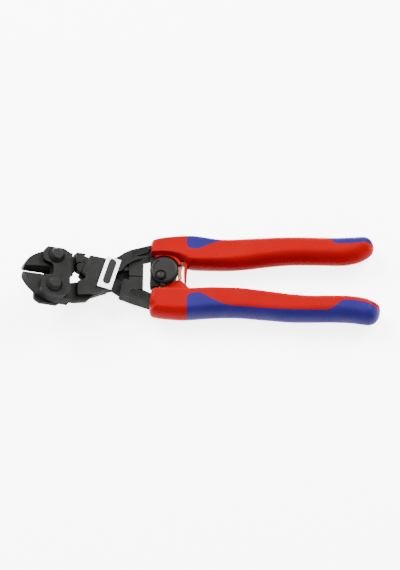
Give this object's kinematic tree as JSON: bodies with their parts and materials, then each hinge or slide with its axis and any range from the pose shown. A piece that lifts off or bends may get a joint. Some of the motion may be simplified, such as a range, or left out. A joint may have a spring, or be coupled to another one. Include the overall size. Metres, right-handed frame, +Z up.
{
  "type": "bolt cutters",
  "caption": "Compact lever-action bolt cutters with a compound-hinged angled head, a locking disc between the levers and two-component hand grips.",
  "frame": {"origin": "middle of the bounding box in X and Y, on the flat side that the tool lies on", "axes": "+X from the jaws to the handle ends, +Y across the handles towards the moving handle, +Z up from the surface it lies on; the head rises along -X"},
  "size_m": [0.1997, 0.0524, 0.033],
  "materials": {
    "forged_steel": "blackened forged steel, satin",
    "fastener_steel": "blackened turned steel, satin",
    "spring_steel": "bare rolled spring steel",
    "label": "blank white foil label",
    "lock_plastic": "moulded black plastic",
    "grip_core": "moulded red plastic, semi-gloss",
    "grip_soft": "soft blue over-moulding, matt"
  },
  "bodies": {
    "frame": {"lower_lever": "forged_steel", "lower_grip": "grip_core", "lower_grip_cover": "grip_soft"},
    "upper_handle": {"upper_lever": "forged_steel", "handle_pivot_pin": "fastener_steel", "name_label": "label", "upper_grip": "grip_core", "upper_grip_front_inset": "grip_soft", "upper_grip_end_inset": "grip_soft", "opening_spring": "spring_steel"},
    "link": {"front_link_plate": "forged_steel", "rear_link_plate": "forged_steel", "lower_link_bolt": "fastener_steel", "upper_link_bolt": "fastener_steel", "lower_link_nut": "fastener_steel", "upper_link_nut": "fastener_steel"},
    "upper_jaw": {"upper_jaw": "forged_steel"},
    "lock": {"lock_disc": "lock_plastic", "lock_stud": "lock_plastic", "lock_axle": "fastener_steel", "lock_latch": "fastener_steel"}
  },
  "joints": [
    {"name": "handle_hinge", "type": "hinge", "parent": "frame", "child": "upper_handle", "pos_m": [-0.05493, 0.001, 0.01125], "axis": [0.342, 0, 0.9397], "range_deg": [0, 22], "deforming": ["opening_spring"]},
    {"name": "link_swing", "type": "hinge", "parent": "frame", "child": "link", "pos_m": [-0.08359, -0.0131, 0.02168], "axis": [0.342, 0, 0.9397], "range_deg": [-6.5, 0]},
    {"name": "jaw_hinge", "type": "hinge", "parent": "link", "child": "upper_jaw", "pos_m": [-0.08284, 0.0043, 0.02141], "axis": [0.342, 0, 0.9397], "range_deg": [-11.6, 0]},
    {"name": "lock_turn", "type": "hinge", "parent": "upper_handle", "child": "lock", "pos_m": [-0.0207, 0.0026, 0.008], "axis": [0, 0, 1], "range_deg": [0, 75]}
  ],
  "couplings": [
    {"joint": "link_swing", "follows": "handle_hinge", "ratio": -0.29226},
    {"joint": "jaw_hinge", "follows": "handle_hinge", "ratio": -0.5245}
  ]
}
